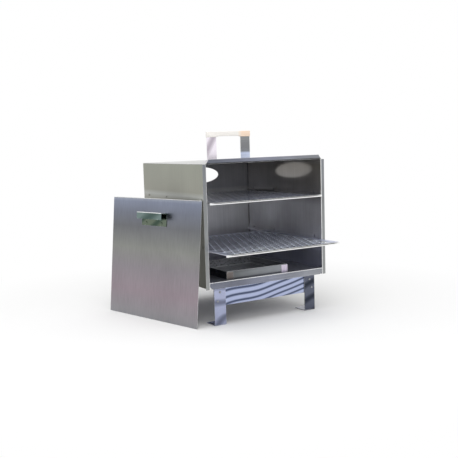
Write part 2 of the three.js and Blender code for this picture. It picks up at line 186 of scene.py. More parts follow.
links.new(white.outputs[0], both.inputs[2])
links.new(both.outputs[0], nodes["Material Output"].inputs["Surface"])
floor.data.materials.append(floor_paint)
floor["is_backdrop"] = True

# %% [markdown]
# ## Steel
#
# Rolled steel is never one grey. The mill leaves fine lines along the sheet, the press and the hands
# leave broad soft stains, and heat tints it from one end to the other. One function builds all of it
# from the piece's own Object coordinates: a ramp of tones along one axis, stains from a broad noise,
# and the grain from a noise drawn out long in one direction, which also drives gloss and a fine bump.
# In several of the steels below the ramp holds painted shade and painted light as well as tints.


# %% Steel finish
def steel(
    name, tints, axis, span, grain, stain=0.25, gloss=0.3, spread=0.12, streak=0.2, turn=0.0, bump=0.02, film=0.0
):
    """tints are (place, colour) stops along axis over span, in metres; grain is the noise scale per axis.
    film is how far a dull film of smoke or oxide hides the bare metal, from 0 to 1."""
    material = bpy.data.materials.new(name)
    material.use_nodes = True
    tree = material.node_tree
    new, link = tree.nodes.new, tree.links.new
    shader = tree.nodes["Principled BSDF"]
    shader.inputs["Metallic"].default_value = 1.0 - film
    place = new("ShaderNodeTexCoord")
    turned = new("ShaderNodeMapping")
    turned.inputs["Rotation"].default_value = (0, 0, -turn)
    link(place.outputs["Object"], turned.inputs["Vector"])

    # The tints along the sheet
    apart = new("ShaderNodeSeparateXYZ")
    link(turned.outputs["Vector"], apart.inputs[0])
    along = new("ShaderNodeMapRange")
    along.inputs["From Min"].default_value, along.inputs["From Max"].default_value = span
    link(apart.outputs[axis], along.inputs["Value"])
    ramp = new("ShaderNodeValToRGB")
    stops = ramp.color_ramp.elements
    while len(stops) < len(tints):
        stops.new(1.0)
    for stop, (at, colour) in zip(stops, tints):
        stop.position, stop.color = at, (*colour, 1)
    link(along.outputs["Result"], ramp.inputs["Fac"])

    # Broad stains
    broad = new("ShaderNodeTexNoise")
    broad.inputs["Scale"].default_value = 7.0
    broad.inputs["Detail"].default_value = 3.0
    link(turned.outputs["Vector"], broad.inputs["Vector"])
    stained = new("ShaderNodeMapRange")
    stained.inputs["From Min"].default_value, stained.inputs["From Max"].default_value = 0.3, 0.7
    stained.inputs["To Min"].default_value, stained.inputs["To Max"].default_value = 1 - stain, 1 + stain
    link(broad.outputs["Fac"], stained.inputs["Value"])

    # The grain
    drawn = new("ShaderNodeMapping")
    drawn.inputs["Scale"].default_value = grain
    link(turned.outputs["Vector"], drawn.inputs["Vector"])
    lines = new("ShaderNodeTexNoise")
    lines.inputs["Scale"].default_value = 1.0
    lines.inputs["Detail"].default_value = 5.0
    link(drawn.outputs["Vector"], lines.inputs["Vector"])
    lined = new("ShaderNodeMapRange")
    lined.inputs["From Min"].default_value, lined.inputs["From Max"].default_value = 0.3, 0.7
    lined.inputs["To Min"].default_value, lined.inputs["To Max"].default_value = 1 - streak, 1 + streak
    link(lines.outputs["Fac"], lined.inputs["Value"])

    both = new("ShaderNodeMath")
    both.operation = "MULTIPLY"
    link(stained.outputs["Result"], both.inputs[0])
    link(lined.outputs["Result"], both.inputs[1])
    tinted = new("ShaderNodeVectorMath")
    tinted.operation = "SCALE"
    link(ramp.outputs["Color"], tinted.inputs[0])
    link(both.outputs[0], tinted.inputs["Scale"])
    link(tinted.outputs["Vector"], shader.inputs["Base Color"])

    rough = new("ShaderNodeMapRange")
    rough.inputs["From Min"].default_value, rough.inputs["From Max"].default_value = 0.3, 0.7
    rough.inputs["To Min"].default_value, rough.inputs["To Max"].default_value = gloss - spread / 2, gloss + spread / 2
    link(lines.outputs["Fac"], rough.inputs["Value"])
    link(rough.outputs["Result"], shader.inputs["Roughness"])
    raised = new("ShaderNodeBump")
    raised.inputs["Strength"].default_value = bump
    raised.inputs["Distance"].default_value = 0.001
    link(lines.outputs["Fac"], raised.inputs["Height"])
    link(raised.outputs["Normal"], shader.inputs["Normal"])
    return material


UPRIGHT_GRAIN = (260, 260, 6)  # lines that run up and down
CROSS_GRAIN = (5, 260, 260)  # lines that run along X
LONG_GRAIN = (260, 5, 260)  # lines that run front to back
low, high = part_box("right_wall")
wall_span = (low.z, high.z)
print("walls from", [round(v, 3) for v in wall_span])

# %% [markdown]
# The outside of the box is a warm grey. The inside is darker, a painted shade that is deepest under
# the roof and down by the tray, with a lighter band of painted light at mid-height. The door's face
# is lighter and cool at its top over a darker band, a painted reflection, and turns a faint pink at its foot.
# Folds and cut edges get a near-white steel, a painted highlight where they catch the light.

# %% Steel colours
depth_span = (opening, opening + 0.4)
width_span = (middle_x - 0.2, middle_x + 0.2)
outer_steel = steel(
    "outer_steel",
    [(0.0, (0.27, 0.27, 0.235)), (0.7, (0.3, 0.3, 0.27)), (0.735, (0.4, 0.41, 0.39)), (0.77, (0.3, 0.3, 0.26)),
     (1.0, (0.31, 0.32, 0.275))],
    "Z", wall_span, UPRIGHT_GRAIN, stain=0.06, gloss=0.42, streak=0.06,
)
# painted shade inside the box: darker under the roof and low down, with a band of painted light at mid-height
shaded_inner_steel = steel(
    "shaded_inner_steel",
    [(0.0, (0.2, 0.21, 0.28)), (0.25, (0.29, 0.3, 0.37)), (0.34, (0.42, 0.42, 0.45)), (0.6, (0.46, 0.46, 0.485)),
     (0.7, (0.27, 0.265, 0.27)), (0.95, (0.23, 0.215, 0.195)), (1.0, (0.34, 0.33, 0.32))],
    "Z", wall_span, UPRIGHT_GRAIN, stain=0.2, gloss=0.1, spread=0.05, streak=0.08, bump=0.006, film=0.4,
)
# painted shade and light on the inside face of the rear wall: dark under the roof and low down, lighter at mid-height
rear_steel = steel(
    "rear_steel",
    [(0.0, (0.2, 0.2, 0.23)), (0.3, (0.34, 0.34, 0.36)), (0.36, (0.46, 0.465, 0.48)), (0.66, (0.45, 0.455, 0.47)),
     (0.74, (0.19, 0.195, 0.215)), (1.0, (0.21, 0.215, 0.24))],
    "Z", wall_span, UPRIGHT_GRAIN, stain=0.12, gloss=0.34, streak=0.08, film=0.15,
)
roof_steel = steel(
    "roof_steel", [(0.0, (0.5, 0.5, 0.5)), (1.0, (0.6, 0.6, 0.59))], "Y", depth_span, CROSS_GRAIN,
    stain=0.08, gloss=0.4, streak=0.06,
)
flange_steel = steel(
    "flange_steel", [(0.0, (0.17, 0.18, 0.22)), (0.5, (0.2, 0.21, 0.26)), (1.0, (0.27, 0.28, 0.3))], "X", width_span,
    CROSS_GRAIN, stain=0.3, gloss=0.3, streak=0.12,
)
floor_steel = steel(
    "floor_steel", [(0.0, (0.2, 0.205, 0.24)), (1.0, (0.15, 0.15, 0.18))], "Y", depth_span, LONG_GRAIN,
    stain=0.3, gloss=0.36, streak=0.15, film=0.3,
)
# painted highlight: the near-white steel of folds and cut edges, where they catch the light
edge_glint_steel = steel(
    "edge_glint_steel", [(0.0, (0.9, 0.91, 0.91)), (1.0, (0.95, 0.95, 0.94))], "X", width_span, CROSS_GRAIN,
    stain=0.03, gloss=0.4, streak=0.04, film=0.3,
)
rack_steel = steel(
    "rack_steel", [(0.0, (0.46, 0.49, 0.62)), (1.0, (0.4, 0.43, 0.54))], "Y", depth_span, LONG_GRAIN,
    stain=0.2, gloss=0.36, streak=0.12, film=0.25,
)
# painted highlight: the strands are much lighter than the ring, where they catch the light
strand_steel = steel(
    "strand_steel", [(0.0, (0.82, 0.87, 1.0)), (1.0, (0.66, 0.7, 0.86))], "Y", depth_span, LONG_GRAIN,
    stain=0.2, gloss=0.4, streak=0.1, film=0.4,
)

# %% Tray and rivet colours
tray_low, tray_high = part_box("drip_tray")
# painted shade: darker towards the tray's left end
tray_steel = steel(
    "tray_steel", [(0.0, (0.15, 0.16, 0.165)), (1.0, (0.23, 0.24, 0.26))], "X",
    (tray_low.x, tray_high.x), CROSS_GRAIN, stain=0.25, gloss=0.3, streak=0.1,
)
pan_steel = steel(
    "pan_steel", [(0.0, (0.12, 0.125, 0.14)), (1.0, (0.2, 0.205, 0.22))], "Y",
    (tray_low.y, tray_high.y), LONG_GRAIN, stain=0.3, gloss=0.3, streak=0.1, film=0.3,
)
rivet_steel = steel(
    "rivet_steel", [(0.0, (0.27, 0.28, 0.3)), (1.0, (0.34, 0.35, 0.37))], "Z", (0, 0.5), (300, 300, 300),
    stain=0.15, gloss=0.3, streak=0.1,
)
# painted shade: the heads of the runner rivets inside the box
shaded_rivet_steel = steel(
    "shaded_rivet_steel", [(0.0, (0.1, 0.1, 0.12)), (1.0, (0.14, 0.14, 0.15))], "Z", wall_span, (300, 300, 300),
    stain=0.15, gloss=0.35, streak=0.1,
)

# %% Post, corner and smoked rack colours
post_steel = steel(
    "post_steel", [(0.0, (0.3, 0.31, 0.31)), (0.6, (0.27, 0.28, 0.285)), (1.0, (0.24, 0.25, 0.27))], "Z", wall_span,
    UPRIGHT_GRAIN, stain=0.12, gloss=0.34, streak=0.1,
)
# painted shadow: a near-black steel for the corner strip beside the rear wall
corner_shadow_steel = steel(
    "corner_shadow_steel", [(0.0, (0.05, 0.05, 0.06)), (1.0, (0.03, 0.03, 0.04))], "Z", wall_span, UPRIGHT_GRAIN,
    stain=0.2, gloss=0.4, film=0.6,
)
# painted shade: darker copies of the rack steels for the upper rack; its strands are lighter at the front, painted
# light, and darker to the rear
shaded_rack_steel = steel(
    "shaded_rack_steel", [(0.0, (0.2, 0.21, 0.26)), (1.0, (0.15, 0.155, 0.19))], "Y", depth_span, LONG_GRAIN,
    stain=0.2, gloss=0.4, streak=0.12, film=0.3,
)
shaded_strand_steel = steel(
    "shaded_strand_steel", [(0.0, (0.42, 0.45, 0.56)), (0.5, (0.24, 0.25, 0.31)), (1.0, (0.2, 0.21, 0.25))], "Y",
    depth_span, LONG_GRAIN, stain=0.2, gloss=0.4, streak=0.1, film=0.4,
)
tab_steels = [
    steel(
        f"{name}_tab_steel", [(0.0, low_tint), (1.0, high_tint)], "Z", (tray_low.z, tray_high.z),
        UPRIGHT_GRAIN, stain=0.2, gloss=0.34, film=0.1,
    )
    for name, low_tint, high_tint in (
        ("brown", (0.14, 0.125, 0.12), (0.19, 0.165, 0.155)), ("lilac", (0.5, 0.45, 0.56), (0.62, 0.55, 0.66)),
    )
]

# %% Right strap colour
strap_span = (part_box("handle_strap_right")[0].z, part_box("handle_grip")[0].z)
# painted shade and light: the right strap is a darker copy of the left one, with painted light near its foot
shaded_strap_steel = steel(
    "shaded_strap_steel",
    [(0.0, (0.62, 0.68, 0.85)), (0.3, (0.6, 0.67, 0.86)), (0.38, (0.24, 0.25, 0.27)), (0.6, (0.22, 0.225, 0.235)),
     (1.0, (0.29, 0.3, 0.31))],
    "Z", strap_span, CROSS_GRAIN, stain=0.12, gloss=0.22, streak=0.08,
)

# %% Door colours
swing = joints["door_swing"]
door_foot = Vector(swing["pos_m"])
door_along = Vector(swing["axis"])
door_heading = math.atan2(door_along.y, door_along.x)
door_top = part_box("door_panel")[1].z
# painted reflection: lighter and cool at the top, over a darker band at three quarters of its height; a faint pink
# lower down
door_steel = steel(
    "door_steel",
    [(0.0, (0.285, 0.285, 0.3)), (0.22, (0.295, 0.245, 0.275)), (0.42, (0.26, 0.24, 0.26)), (0.58, (0.25, 0.255, 0.24)),
     (0.76, (0.165, 0.17, 0.183)), (0.88, (0.185, 0.2, 0.245)), (0.97, (0.23, 0.255, 0.33)), (1.0, (0.34, 0.37, 0.44))],
    "Z", (0, door_top), UPRIGHT_GRAIN, stain=0.07, gloss=0.36, streak=0.07, turn=door_heading,
)
door_back_steel = steel(
    "door_back_steel", [(0.0, (0.3, 0.3, 0.3)), (1.0, (0.26, 0.26, 0.27))], "Z", (0, door_top), UPRIGHT_GRAIN,
    stain=0.1, gloss=0.4, streak=0.08, turn=door_heading,
)

# %% [markdown]
# The legs, aprons and straps are polished, and thin polished sheet is never flat: it shows what is
# round it as long wavering bands. Here those bands are painted reflection: a wave bent by a slow noise
# lays dark and light bands of colour down along the sheet.


# %% Polished finish
def polished(name, dark, light, angle, width, waver, gloss=0.16):
    """Painted reflection: bands of dark and light steel colour, width metres apart, leaning at angle in the X-Z plane.
    """
    material = bpy.data.materials.new(name)
    material.use_nodes = True
    tree = material.node_tree
    new, link = tree.nodes.new, tree.links.new
    shader = tree.nodes["Principled BSDF"]
    shader.inputs["Metallic"].default_value = 1.0
    place = new("ShaderNodeTexCoord")
    leaned = new("ShaderNodeMapping")
    leaned.inputs["Rotation"].default_value = (0, angle, 0)
    link(place.outputs["Object"], leaned.inputs["Vector"])
    slow = new("ShaderNodeTexNoise")
    slow.inputs["Scale"].default_value = 4.0
    slow.inputs["Detail"].default_value = 1.0
    link(leaned.outputs["Vector"], slow.inputs["Vector"])
    apart = new("ShaderNodeSeparateXYZ")
    link(leaned.outputs["Vector"], apart.inputs[0])
    pushed = new("ShaderNodeMath")
    pushed.operation = "MULTIPLY_ADD"
    pushed.inputs[1].default_value = waver
    link(slow.outputs["Fac"], pushed.inputs[0])
    link(apart.outputs["Z"], pushed.inputs[2])
    turns = new("ShaderNodeMath")
    turns.operation = "MULTIPLY"
    turns.inputs[1].default_value = 2 * math.pi / width
    link(pushed.outputs[0], turns.inputs[0])
    wave = new("ShaderNodeMath")
    wave.operation = "SINE"
    link(turns.outputs[0], wave.inputs[0])
    ramp = new("ShaderNodeValToRGB")
    ramp.color_ramp.elements[0].position, ramp.color_ramp.elements[0].color = 0.0, (*dark, 1)
    ramp.color_ramp.elements[1].position, ramp.color_ramp.elements[1].color = 0.6, (*light, 1)
    spread = new("ShaderNodeMapRange")
    spread.inputs["From Min"].default_value = -1.0
    link(wave.outputs[0], spread.inputs["Value"])
    link(spread.outputs["Result"], ramp.inputs["Fac"])
    link(ramp.outputs["Color"], shader.inputs["Base Color"])
    scuffs = new("ShaderNodeTexNoise")
    scuffs.inputs["Scale"].default_value = 60.0
    scuffs.inputs["Detail"].default_value = 4.0
    link(place.outputs["Object"], scuffs.inputs["Vector"])
    rough = new("ShaderNodeMapRange")
    rough.inputs["To Min"].default_value, rough.inputs["To Max"].default_value = gloss - 0.06, gloss + 0.1
    link(scuffs.outputs["Fac"], rough.inputs["Value"])
    link(rough.outputs["Result"], shader.inputs["Roughness"])
    dents = new("ShaderNodeBump")
    dents.inputs["Strength"].default_value = 0.25
    dents.inputs["Distance"].default_value = 0.01
    link(slow.outputs["Fac"], dents.inputs["Height"])
    link(dents.outputs["Normal"], shader.inputs["Normal"])
    return material


apron_steel = polished("apron_steel", (0.06, 0.075, 0.13), (0.42, 0.47, 0.66), math.radians(11), 0.017, 0.08)
leg_steel = polished("leg_steel", (0.17, 0.185, 0.26), (0.39, 0.42, 0.58), math.radians(50), 0.035, 0.3)
# painted shade: a darker copy of the leg steel, for the two legs on the right
shaded_leg_steel = polished("shaded_leg_steel", (0.03, 0.035, 0.05), (0.11, 0.12, 0.16), math.radians(30), 0.05, 0.15)
# painted shade: a darker copy of the pull steel for its back plate under the shelf and its rivets
shaded_pull_steel = polished("shaded_pull_steel", (0.05, 0.08, 0.06), (0.13, 0.16, 0.12), math.radians(70), 0.013, 0.05)
strap_steel = polished("strap_steel", (0.5, 0.45, 0.51), (0.92, 0.86, 0.94), math.radians(60), 0.05, 0.05)
pull_steel = polished("pull_steel", (0.07, 0.11, 0.1), (0.17, 0.23, 0.22), math.radians(70), 0.02, 0.05)

# %% [markdown]
# The grip is a slat of bare wood. Most of it is painted a pale cream, a painted highlight, and its
# right end keeps the warm colour of the wood. Its grain is a noise drawn out along the slat.


# %% Wood finish
def highlit_wood(name, span):
    material = bpy.data.materials.new(name)
    material.use_nodes = True
    tree = material.node_tree
    new, link = tree.nodes.new, tree.links.new
    shader = tree.nodes["Principled BSDF"]
    place = new("ShaderNodeTexCoord")
    apart = new("ShaderNodeSeparateXYZ")
    link(place.outputs["Object"], apart.inputs[0])
    along = new("ShaderNodeMapRange")
    along.inputs["From Min"].default_value, along.inputs["From Max"].default_value = span
    link(apart.outputs["X"], along.inputs["Value"])
    ramp = new("ShaderNodeValToRGB")
    # painted highlight: most of the slat is a pale cream, and only its right end keeps the warm wood colour
    ramp.color_ramp.elements[0].position, ramp.color_ramp.elements[0].color = 0.7, (0.94, 0.91, 0.87, 1)
    ramp.color_ramp.elements[1].position, ramp.color_ramp.elements[1].color = 0.8, (0.97, 0.76, 0.6, 1)
    link(along.outputs["Result"], ramp.inputs["Fac"])
    drawn = new("ShaderNodeMapping")
    drawn.inputs["Scale"].default_value = (12, 260, 260)
    link(place.outputs["Object"], drawn.inputs["Vector"])
    grain = new("ShaderNodeTexNoise")
    grain.inputs["Scale"].default_value = 1.0
    grain.inputs["Detail"].default_value = 6.0
    link(drawn.outputs["Vector"], grain.inputs["Vector"])
    shade = new("ShaderNodeMapRange")
    shade.inputs["To Min"].default_value, shade.inputs["To Max"].default_value = 0.82, 1.12
    link(grain.outputs["Fac"], shade.inputs["Value"])
    tinted = new("ShaderNodeVectorMath")
    tinted.operation = "SCALE"
    link(ramp.outputs["Color"], tinted.inputs[0])
    link(shade.outputs["Result"], tinted.inputs["Scale"])
    link(tinted.outputs["Vector"], shader.inputs["Base Color"])
    rough = new("ShaderNodeMapRange")
    rough.inputs["To Min"].default_value, rough.inputs["To Max"].default_value = 0.5, 0.75
    link(grain.outputs["Fac"], rough.inputs["Value"])
    link(rough.outputs["Result"], shader.inputs["Roughness"])
    raised = new("ShaderNodeBump")
    raised.inputs["Strength"].default_value = 0.2
    raised.inputs["Distance"].default_value = 0.0006
    link(grain.outputs["Fac"], raised.inputs["Height"])
    link(raised.outputs["Normal"], shader.inputs["Normal"])
    return material


grip_low, grip_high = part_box("handle_grip")
grip_wood = highlit_wood("grip_wood", (grip_low.x, grip_high.x))

# %% [markdown]
# ## The bench
#
# Every sheet piece is made in the same few moves: lay down a slab, cut it where it will be folded,
# push the strip beyond the cut out to the side, and round the fold. These helpers hold those moves.
# Faces and edges are picked by where they are, as a maker points at them.


# %% Bench helpers
def clear_selection():
    bpy.ops.object.select_all(action="DESELECT")


def make_active(piece):
    clear_selection()
    piece.select_set(True)
    bpy.context.view_layer.objects.active = piece


def set_in_mesh(piece):
    """Puts the piece's place, turn and size into its mesh."""
    make_active(piece)
    bpy.ops.object.transform_apply(location=True, rotation=True, scale=True)


def slab(name, low, high, materials):
    """A cuboid between two corners."""
    low, high = Vector(low), Vector(high)
    clear_selection()
    bpy.ops.mesh.primitive_cube_add(size=1, location=(low + high) / 2)
    piece = bpy.context.object
    piece.name = name
    piece.scale = high - low
    set_in_mesh(piece)
    for material in materials:
        piece.data.materials.append(material)
    return piece


def edit(piece, kind):
    """Clears the piece's own selection, ready to pick faces or edges."""
    make_active(piece)
    bpy.ops.object.mode_set(mode="EDIT")
    bpy.ops.mesh.select_mode(type=kind)
    bpy.ops.mesh.select_all(action="DESELECT")
    bpy.ops.object.mode_set(mode="OBJECT")


def pick_faces(piece, test):
    edit(piece, "FACE")
    for face in piece.data.polygons:
        face.select = bool(test(face.center, face.normal))
    bpy.ops.object.mode_set(mode="EDIT")


def pick_edges(piece, test):
    edit(piece, "EDGE")
    points = piece.data.vertices
    count = 0
    for edge in piece.data.edges:
        a, b = (points[i].co for i in edge.vertices)
        edge.select = bool(test((a + b) / 2, (b - a).normalized()))
        count += edge.select
    bpy.ops.object.mode_set(mode="EDIT")
    return count


def done():
    bpy.ops.object.mode_set(mode="OBJECT")


def saw(piece, point, normal):
    """Scores the piece all round along a plane."""
    make_active(piece)
    bpy.ops.object.mode_set(mode="EDIT")
    bpy.ops.mesh.select_all(action="SELECT")
    bpy.ops.mesh.bisect(plane_co=point, plane_no=normal)
    done()


def push(piece, test, travel):
    """Extrudes the picked faces along travel."""
    pick_faces(piece, test)
    bpy.ops.mesh.extrude_region_move(TRANSFORM_OT_translate={"value": travel})
    done()


def round_edges(piece, test, radius, segments=4, slot=-1):
    """Rounds the picked edges, and gives the round the material of that slot."""
    if pick_edges(piece, test):
        bpy.ops.mesh.bevel(offset=radius, segments=segments, affect="EDGES", material=slot)
    done()


def near(value, target, slack=0.2 * MM):
    return abs(value - target) < slack


def repaint(piece, test, slot, where=0):
    for face in piece.data.polygons:
        if face.material_index == where and test(face.center, face.normal):
            face.material_index = slot


# %% Finishing helpers
def flatten_faces(piece):
    """Lets the large faces rule the shading, so that a flat sheet mirrors as a flat one."""
    piece.modifiers.new("flat_faces", "WEIGHTED_NORMAL").keep_sharp = True
    make_active(piece)
    bpy.ops.object.modifier_apply(modifier="flat_faces")


def finish_piece(piece, glint_slot=1, soften=0.25 * MM):
    """Breaks the cut edges, which then get the bright steel of the slot given, a painted highlight, and smooths the
    folds.
    """
    glint_bevel = piece.modifiers.new("cut_edge", "BEVEL")
    glint_bevel.width, glint_bevel.segments, glint_bevel.limit_method = soften, 2, "ANGLE"
    glint_bevel.angle_limit = math.radians(60)
    glint_bevel.material = glint_slot
    make_active(piece)
    bpy.ops.object.modifier_apply(modifier=glint_bevel.name)
    bpy.ops.object.shade_smooth_by_angle(angle=math.radians(35))
    flatten_faces(piece)


def fit_piece(piece, node, body="cabinet"):
    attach(piece, body)
    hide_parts(node)
    print(piece.name, "for", node, "with", len(piece.data.polygons), "faces")


# %% [markdown]
# ## The box
#
# Roof, sides and floor are each one sheet with a flange turned out round the opening, so that the
# door has something to hang on and close against. A side wall is a slab with its front strip pushed
# outwards. The fold at the opening is what the eye reads as a post, so it is well rounded.

# %% Sheet sizes from the frame
left_low, left_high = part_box("left_wall")
right_low, right_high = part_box("right_wall")
roof_low, roof_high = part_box("roof_panel")
floor_low, floor_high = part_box("floor_panel")
rear_low, rear_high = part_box("rear_wall")
SHEET = rear_high.y - rear_low.y
SIDE_FLANGE = 12 * MM
FOLD = 3.6 * MM  # outer radius of a press fold
inner_left = left_low.x + SIDE_FLANGE
inner_right = right_high.x - SIDE_FLANGE
print("sheet", round(SHEET / MM, 2), "mm, inside width", round((inner_right - inner_left) / MM, 1), "mm")


# %% Side walls
SHADOW_STRIP = 4 * MM  # the strip beside the rear wall where the corner's shadow is painted


def side_wall(name, sign, inner, low, high):
    outer = inner + sign * SHEET
    strip_end = low.y + SHEET
    wall = slab(
        name, (min(inner, outer), low.y, low.z), (max(inner, outer), high.y, high.z),
        [outer_steel, edge_glint_steel, shaded_inner_steel, post_steel, corner_shadow_steel],
    )
    for y in (strip_end, high.y - SHADOW_STRIP):
        saw(wall, (0, y, 0), (0, 1, 0))
    push(wall, lambda c, n: n.x * sign > 0.9 and c.y < strip_end, (sign * (SIDE_FLANGE - SHEET), 0, 0))
    round_edges(wall, lambda c, d: abs(d.z) > 0.9 and near(c.x, inner) and near(c.y, low.y), FOLD, slot=1)
    round_edges(wall, lambda c, d: abs(d.z) > 0.9 and near(c.x, outer) and near(c.y, strip_end), FOLD / 2)
    # the strip beside the rear wall gets the painted corner shadow
    repaint(wall, lambda c, n: n.x * sign < -0.9 and c.y > high.y - SHADOW_STRIP, 4)
    repaint(wall, lambda c, n: n.x * sign < -0.9, 2)
    repaint(wall, lambda c, n: n.y < -0.9, 3)
    finish_piece(wall)
    return wall


fit_piece(side_wall("left_side", -1, inner_left, left_low, left_high), "left_wall")
fit_piece(side_wall("right_side", 1, inner_right, right_low, right_high), "right_wall")

# %% [markdown]
# The roof's flange stands up, with its ends cut on a slant so that they clear the side flanges, and
# the floor's hangs down with its corners nipped off. A slanted end is an edge slid inwards.

# %% Roof
TOP_SLANT = 8 * MM
roof_top = roof_low.z + SHEET
strip_end = roof_low.y + SHEET
roof = slab(
    "roof_cover", (roof_low.x, roof_low.y, roof_low.z), (roof_high.x, roof_high.y, roof_top),
    [roof_steel, edge_glint_steel, shaded_inner_steel, flange_steel],
)
for edge_x in (inner_left, inner_right):
    saw(roof, (edge_x, 0, 0), (1, 0, 0))
saw(roof, (0, strip_end, 0), (0, 1, 0))
push(
    roof, lambda c, n: n.z > 0.9 and c.y < strip_end and inner_left < c.x < inner_right,
    (0, 0, roof_high.z - roof_top),
)
for sign, edge_x in ((-1, inner_left), (1, inner_right)):
    pick_edges(roof, lambda c, d: near(c.x, edge_x) and near(c.z, roof_high.z) and abs(d.y) > 0.9)
    bpy.ops.transform.translate(value=(-sign * TOP_SLANT, 0, 0))
    done()
round_edges(
    roof, lambda c, d: abs(d.x) > 0.9 and near(c.y, roof_low.y) and near(c.z, roof_low.z), FOLD, slot=1,
)
repaint(roof, lambda c, n: n.z < -0.9, 2)
repaint(roof, lambda c, n: n.y < -0.9, 3)
finish_piece(roof)
fit_piece(roof, "roof_panel")

# %% Floor sheet
NIP = 7.5 * MM
SILL_FOLD = 1.7 * FOLD  # rounder than the other folds, which widens the painted highlight along the sill
strip_end = floor_low.y + SHEET
bottom = slab(
    "floor_sheet", (floor_low.x, floor_low.y, floor_high.z - SHEET), (floor_high.x, floor_high.y, floor_high.z),
    [floor_steel, edge_glint_steel, flange_steel],
)
saw(bottom, (0, strip_end, 0), (0, 1, 0))
push(
    bottom, lambda c, n: n.z < -0.9 and c.y < strip_end, (0, 0, floor_low.z - floor_high.z + SHEET),
)
round_edges(bottom, lambda c, d: abs(d.y) > 0.9 and near(c.z, floor_low.z), NIP, segments=1)
round_edges(
    bottom, lambda c, d: abs(d.x) > 0.9 and near(c.y, floor_low.y) and near(c.z, floor_high.z), SILL_FOLD, slot=1,
)
repaint(bottom, lambda c, n: n.y < -0.9, 2)
finish_piece(bottom)
fit_piece(bottom, "floor_panel")

# %% [markdown]
# The rear wall is one flat sheet with an oval vent high up. The oval is cut with a boolean, from a
# cylinder squeezed to its width and height, and the cutter is thrown away.


# %% Rear wall
def cut_with(piece, cutter):
    """Takes the cutter's shape out of the piece, and throws the cutter away."""
    knife = piece.modifiers.new("cut", "BOOLEAN")
    knife.object, knife.operation, knife.solver = cutter, "DIFFERENCE", "EXACT"
    make_active(piece)
    bpy.ops.object.modifier_apply(modifier=knife.name)
    bpy.data.objects.remove(cutter)


VENT_WIDTH, VENT_HEIGHT, VENT_DROP = 159 * MM, 55 * MM, 49 * MM
back = slab("rear_sheet", rear_low, rear_high, [outer_steel, edge_glint_steel, rear_steel])
clear_selection()
bpy.ops.mesh.primitive_cylinder_add(
    vertices=96, radius=0.5, depth=10 * SHEET,
    location=(middle_x, rear_low.y, roof_low.z - VENT_DROP), rotation=(math.pi / 2, 0, 0),
)
oval = bpy.context.object
oval.scale = (VENT_WIDTH, VENT_HEIGHT, 1)
set_in_mesh(oval)
cut_with(back, oval)
repaint(back, lambda c, n: n.y < -0.9, 2)
finish_piece(back)
fit_piece(back, "rear_wall")

# %% [markdown]
# ## The stand
#
# A leg is a strap with its foot turned in, and an apron is a sheet with its top turned in under the
# floor. Both are the same move again, so one function folds either, and it bends the handle's
# straps as well.


# %% Folded strips
def folded_strip(name, low, high, face, thick, fold_at_top, materials):
    """A strip standing on the plane y = face, with an arm along Y from its top or its bottom."""
    inward = 1 if near(low.y, face) else -1
    back_face = face + inward * thick
    strip = slab(
        name, (low.x, min(face, back_face), low.z), (high.x, max(face, back_face), high.z), materials,
    )
    fold_z = high.z if fold_at_top else low.z
    line_z = high.z - thick if fold_at_top else low.z + thick
    saw(strip, (0, 0, line_z), (0, 0, 1))
    push(
        strip, lambda c, n: n.y * inward > 0.9 and (c.z > line_z) == fold_at_top,
        (0, inward * (high.y - low.y - thick), 0),
    )
    across = lambda c, d, y, z: abs(d.x) > 0.9 and near(c.y, y) and near(c.z, z)
    round_edges(strip, lambda c, d: across(c, d, face, fold_z), FOLD + thick / 2)
    round_edges(strip, lambda c, d: across(c, d, back_face, line_z), FOLD / 2)
    return strip


# %% Legs and aprons
LEG_THICKNESS = 2 * MM
for end in ("front", "rear"):
    low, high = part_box(f"{end}_apron")
    face = low.y if end == "front" else high.y
    apron = folded_strip(f"{end}_apron_sheet", low, high, face, SHEET, True, [apron_steel, edge_glint_steel])
    finish_piece(apron)
    fit_piece(apron, f"{end}_apron")
    for side in ("left", "right"):
        low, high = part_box(f"{end}_{side}_leg")
        face = low.y if end == "front" else high.y
        leg = folded_strip(
            f"{end}_{side}_leg_strap", low, high, face, LEG_THICKNESS, False,
            [leg_steel if side == "left" else shaded_leg_steel, edge_glint_steel],
        )
        finish_piece(leg)
        fit_piece(leg, f"{end}_{side}_leg")

# %% [markdown]
# ## Rivets and screws
#
# A rivet starts as its head, a flat disc. Its shank and its tail are drawn out of the disc one
# after the other, and both ends are rounded. It is modelled once for each thickness that it grips,
# at the origin with its tail up, and every seat gets a copy with a mesh of its own. A seat is the
# rivet's own box in the frame, and the direction says which way the tail points.

# %% Rivet
HEAD_RADIUS, HEAD_RISE, SHANK_RADIUS, TAIL_RADIUS, TAIL_RISE = (v * MM for v in (3.4, 1.3, 2.2, 3.0, 1.5))
SEAT_RISE = 2 * MM  # the room that the frame keeps for a head
rivet_masters = {}


def draw_out(travel, widen=1.0):
    """Extrudes the selected end face along +Z and widens it in its plane."""
    bpy.ops.mesh.extrude_region_move(TRANSFORM_OT_translate={"value": (0, 0, travel)})
    if widen != 1.0:
        bpy.ops.transform.resize(value=(widen, widen, 1))


def start_head(name):
    clear_selection()
    bpy.ops.mesh.primitive_cylinder_add(
        vertices=24, radius=HEAD_RADIUS, depth=HEAD_RISE, location=(0, 0, -HEAD_RISE / 2)
    )
    piece = bpy.context.object
    piece.name = name
    set_in_mesh(piece)
    piece.data.materials.append(rivet_steel)
    piece.data.materials.append(rivet_steel)
    pick_faces(piece, lambda c, n: n.z > 0.9)
    bpy.ops.mesh.inset(thickness=HEAD_RADIUS - SHANK_RADIUS)
    return piece


def smooth_turned(piece):
    round_edges(piece, lambda c, d: near(c.z, -HEAD_RISE), HEAD_RISE * 0.9, segments=5)
    make_active(piece)
    bpy.ops.object.shade_smooth_by_angle(angle=math.radians(40))


